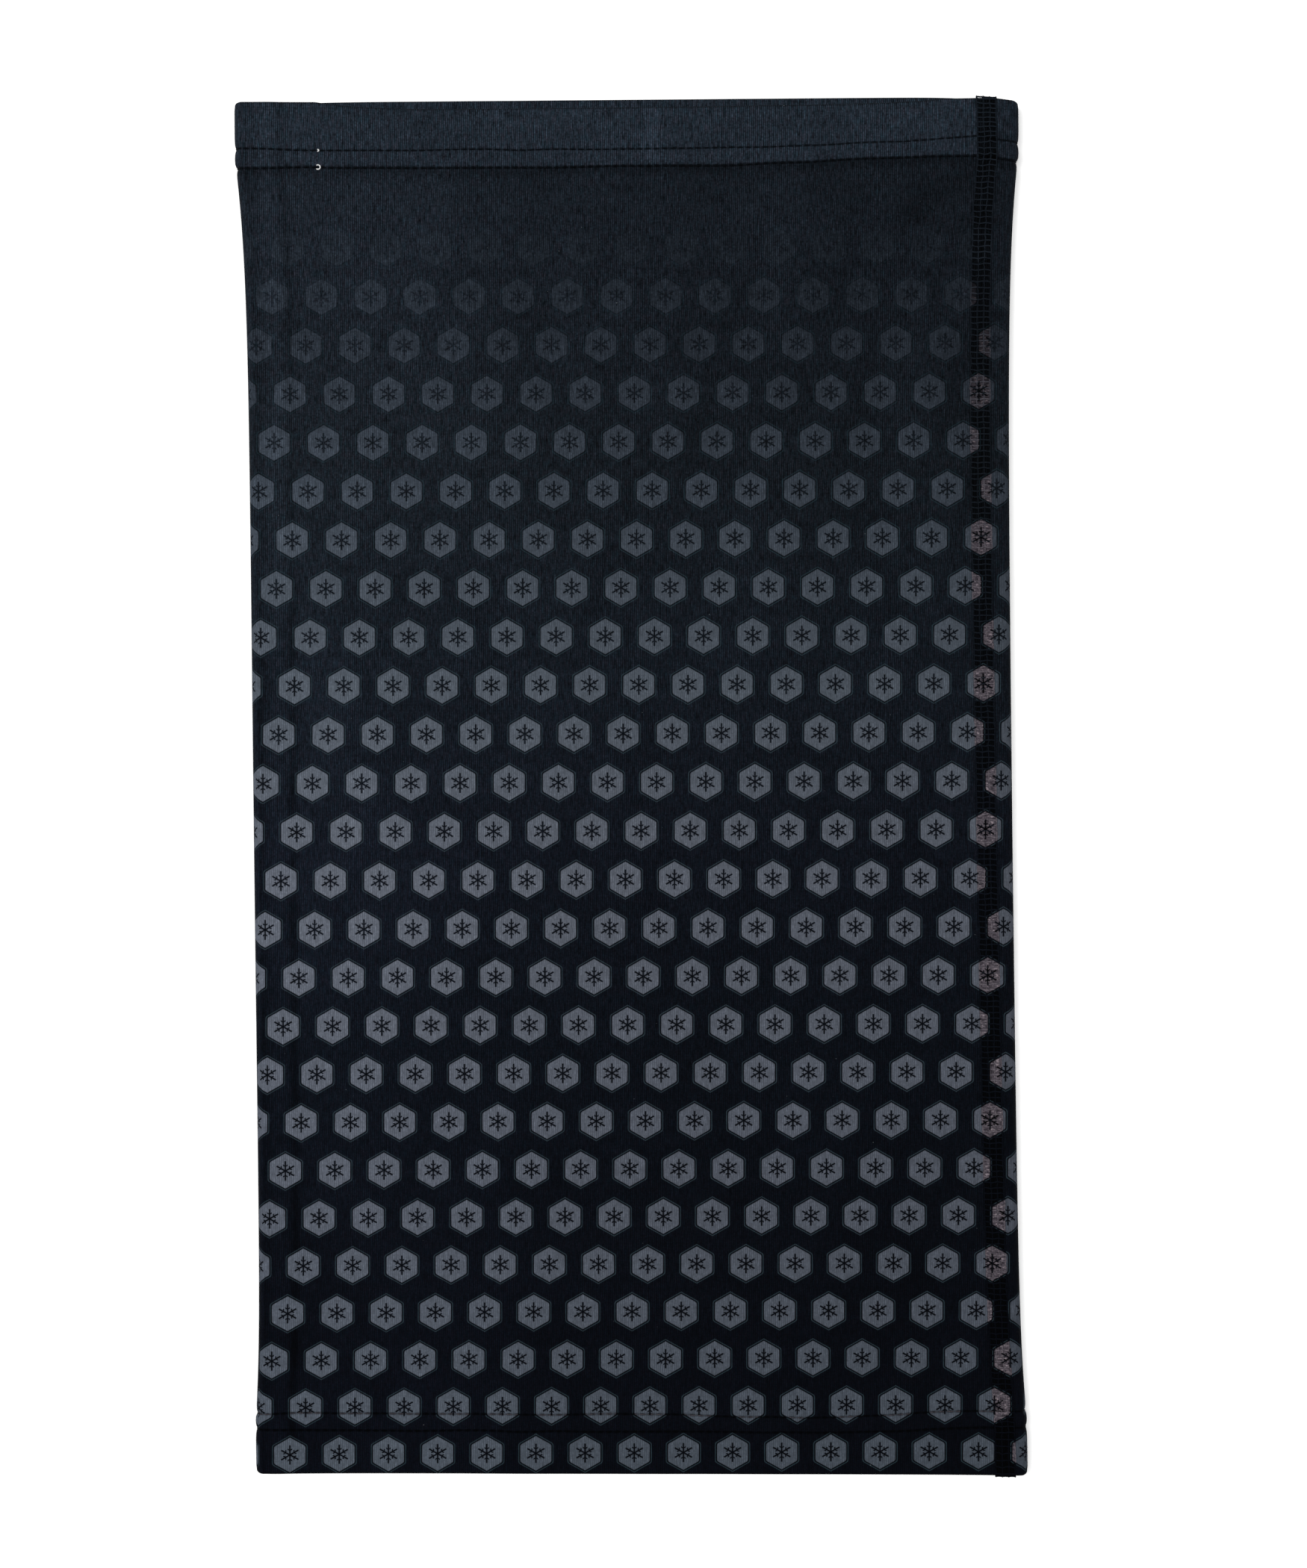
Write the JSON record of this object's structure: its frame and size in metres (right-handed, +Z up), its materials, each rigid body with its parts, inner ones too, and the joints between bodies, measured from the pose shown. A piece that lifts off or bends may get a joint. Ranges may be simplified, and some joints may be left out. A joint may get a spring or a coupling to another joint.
{
  "type": "neck gaiter",
  "caption": "Printed knit neck gaiter lying flat: a fabric tube of two hemmed panels joined by flat side seams, open at both ends.",
  "frame": {"origin": "on the surface that the tube lies on, under the middle of its outline", "axes": "+X across the tube from fold to fold, +Y along the tube towards its top hem, +Z up from the surface, towards the front panel"},
  "size_m": [0.242, 0.4338, 0.0086],
  "materials": {
    "printed_knit": "matt fine knit, printed outside, plain white inside",
    "sewing_thread": "matt textured polyester thread"
  },
  "bodies": {
    "root": {"front_panel": "printed_knit", "back_panel": "printed_knit", "right_seam_needle_thread_1": "sewing_thread", "right_seam_needle_thread_2": "sewing_thread", "right_seam_needle_thread_3": "sewing_thread", "right_seam_needle_thread_4": "sewing_thread", "left_seam_needle_thread_1": "sewing_thread", "left_seam_needle_thread_2": "sewing_thread", "left_seam_needle_thread_3": "sewing_thread", "left_seam_needle_thread_4": "sewing_thread", "right_seam_cover_thread": "sewing_thread", "right_seam_looper_thread": "sewing_thread", "left_seam_cover_thread": "sewing_thread", "left_seam_looper_thread": "sewing_thread", "front_top_hem_outer_needle_thread": "sewing_thread", "front_top_hem_inner_needle_thread": "sewing_thread", "front_top_hem_looper_thread": "sewing_thread", "front_bottom_hem_outer_needle_thread": "sewing_thread", "front_bottom_hem_inner_needle_thread": "sewing_thread", "front_bottom_hem_looper_thread": "sewing_thread", "back_top_hem_outer_needle_thread": "sewing_thread", "back_top_hem_inner_needle_thread": "sewing_thread", "back_top_hem_looper_thread": "sewing_thread", "back_bottom_hem_outer_needle_thread": "sewing_thread", "back_bottom_hem_inner_needle_thread": "sewing_thread", "back_bottom_hem_looper_thread": "sewing_thread"}
  },
  "joints": []
}
